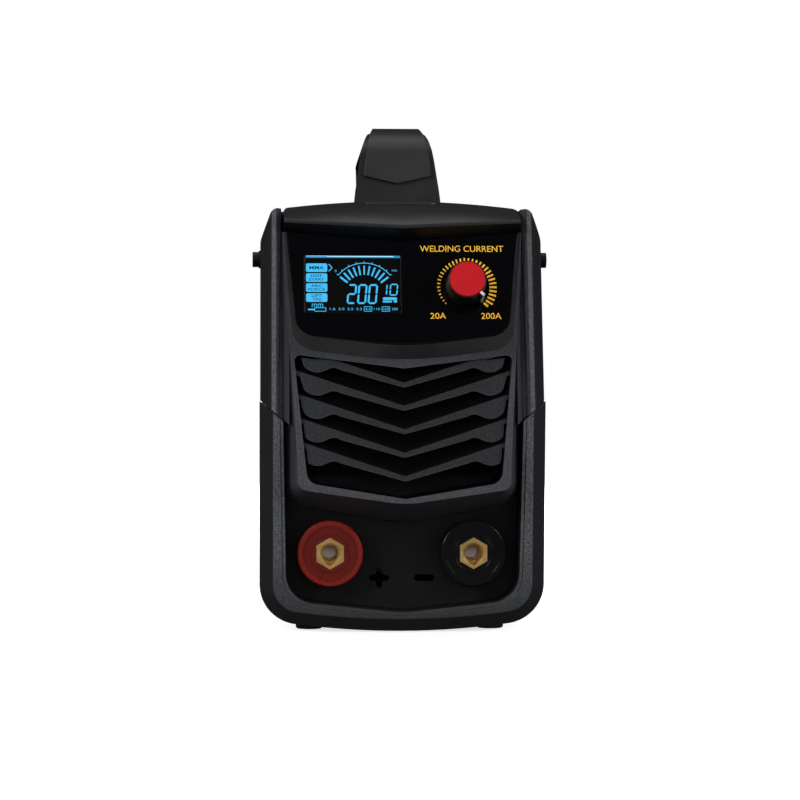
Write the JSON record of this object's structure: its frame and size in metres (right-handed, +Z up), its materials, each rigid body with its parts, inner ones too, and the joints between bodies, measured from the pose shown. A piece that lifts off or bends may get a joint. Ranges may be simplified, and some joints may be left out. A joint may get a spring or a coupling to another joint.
{
  "type": "stick welding inverter",
  "caption": "Portable stick welding inverter with a tilted digital display, current knob, chevron grille, plus and minus output sockets and a top carrying handle.",
  "frame": {"origin": "on the floor, under the middle of the overall box", "axes": "+Z up, front with display and sockets towards -Y, +X to the right seen from the front"},
  "size_m": [0.1614, 0.33, 0.28],
  "materials": {
    "black_textured": "fine grain",
    "black_satin": "satin",
    "grip_satin": "satin",
    "window_gloss": "polished",
    "display": "polished",
    "circuit_board": "semi-gloss",
    "black_epoxy": "matte",
    "zinc_steel": "zinc plated",
    "black_steel": "blackened",
    "knob_black": "satin",
    "knob_red": "satin",
    "white_mark": "satin",
    "socket_red": "satin",
    "socket_black": "semi-gloss",
    "brass": "machined",
    "painted_steel": "fine powder coat",
    "rubber": "matte",
    "filter_foam": "open foam",
    "fan_plastic": "satin",
    "switch_black": "satin",
    "switch_red": "gloss",
    "gland_plastic": "satin",
    "aluminium": "extruded",
    "capacitor_sleeve": "gloss sleeve",
    "ferrite": "sintered",
    "copper_winding": "enamelled"
  },
  "bodies": {
    "housing": {"lower_bezel": "black_textured", "left_cheek": "black_textured", "right_cheek": "black_textured", "front_mask": "black_textured", "grille_louvres": "black_textured", "hood": "black_satin", "display_frame": "black_satin", "display_window": "window_gloss", "lcd_module": "display", "control_board": "circuit_board", "encoder_body": "black_epoxy", "front_panel": "black_satin", "dust_filter": "filter_foam", "positive_socket_insulator": "socket_red", "negative_socket_insulator": "socket_black", "positive_socket_contact": "brass", "negative_socket_contact": "brass", "socket_nuts": "brass", "socket_bolts": "zinc_steel", "positive_busbar": "brass", "negative_busbar": "brass", "metal_cover": "painted_steel", "chassis_tray": "painted_steel", "feet": "rubber", "foot_screws": "zinc_steel", "handle_strap": "black_satin", "handle_grip": "grip_satin", "handle_screws": "zinc_steel", "side_screws": "black_steel", "side_washers": "black_steel", "rear_panel": "black_textured", "rear_screws": "black_steel", "fan_guard": "black_steel", "fan_housing": "fan_plastic", "fan_screws": "black_steel", "power_switch_body": "switch_black", "cable_gland": "gland_plastic", "gland_nut": "gland_plastic", "earth_screw": "brass", "main_board": "circuit_board", "board_standoffs": "zinc_steel", "primary_heatsink": "aluminium", "secondary_heatsink": "aluminium", "power_transistors": "black_epoxy", "output_diodes": "black_epoxy", "bridge_rectifier": "black_epoxy", "bulk_capacitors": "capacitor_sleeve", "transformer_core": "ferrite", "transformer_winding": "copper_winding", "output_choke": "copper_winding"},
    "plunger": {"encoder_plunger": "zinc_steel"},
    "knob": {"encoder_shaft": "zinc_steel", "control_knob": "knob_black", "knob_cap": "knob_red", "knob_pointer": "white_mark"},
    "fan": {"fan_rotor": "fan_plastic"},
    "rocker": {"power_switch_rocker": "switch_red"}
  },
  "joints": [
    {"name": "knob_push", "type": "slide", "parent": "housing", "child": "plunger", "axis": [0, 0.9781, -0.2079], "range_m": [0, 0.0008], "stiffness_N_per_m": 2500, "springref_m": -0.0008},
    {"name": "knob_turn", "type": "hinge", "parent": "plunger", "child": "knob", "pos_m": [0.0334, -0.13165, 0.1853], "axis": [0, -0.9781, 0.2079], "range_deg": [0, 270]},
    {"name": "fan_spin", "type": "hinge", "parent": "housing", "child": "fan", "pos_m": [0, 0.1178, 0.118], "axis": [0, 1, 0], "continuous": true},
    {"name": "power_rocker", "type": "hinge", "parent": "housing", "child": "rocker", "pos_m": [-0.034, 0.129, 0.19], "axis": [1, 0, 0], "range_deg": [-20, 0]}
  ]
}
